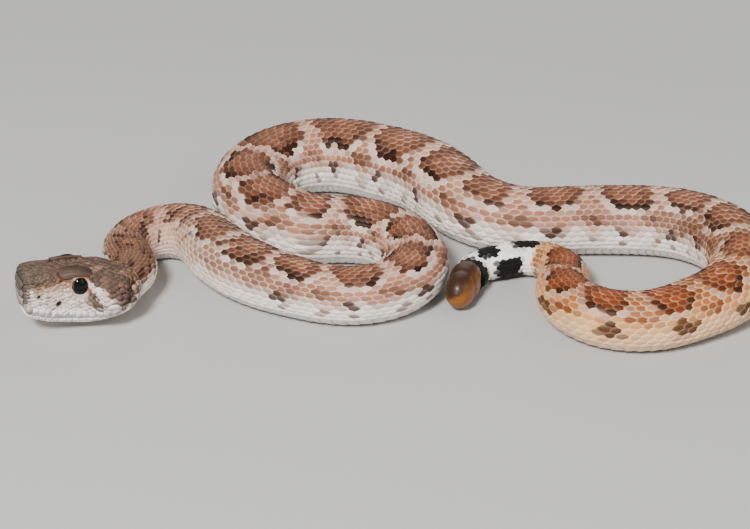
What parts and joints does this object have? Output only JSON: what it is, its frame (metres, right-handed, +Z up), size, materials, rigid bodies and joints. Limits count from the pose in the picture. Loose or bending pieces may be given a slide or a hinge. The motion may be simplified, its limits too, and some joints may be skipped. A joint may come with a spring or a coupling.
{
  "type": "western diamondback rattlesnake",
  "caption": "Young western diamondback rattlesnake at life size, lying in two flat loops with its broad head raised to one side and a button rattle.",
  "frame": {"origin": "on the floor, under the middle of the whole animal's bounding box", "axes": "+X along the animal's longest extent, from the head's end to the right-hand loop, +Z up, -Y towards the viewer of the picture"},
  "size_m": [0.1366, 0.0764, 0.0142],
  "materials": {
    "head_skin": "satin",
    "fore_skin": "satin",
    "hind_skin": "satin",
    "tail_skin": "satin",
    "pale_skin": "satin",
    "eye": "gloss",
    "horn": "satin"
  },
  "bodies": {
    "root": {"head": "head_skin", "lower_jaw": "pale_skin", "eye_left": "eye", "eye_right": "eye", "neck": "fore_skin", "forebody": "fore_skin", "front_run": "fore_skin", "front_bend": "fore_skin", "inner_run": "fore_skin", "left_bend": "fore_skin", "back_run": "fore_skin", "cross_run": "fore_skin", "middle_run": "fore_skin", "right_bend": "hind_skin", "return_run": "hind_skin", "hind_bend": "hind_skin", "tail": "tail_skin", "rattle_button": "horn"}
  },
  "joints": []
}
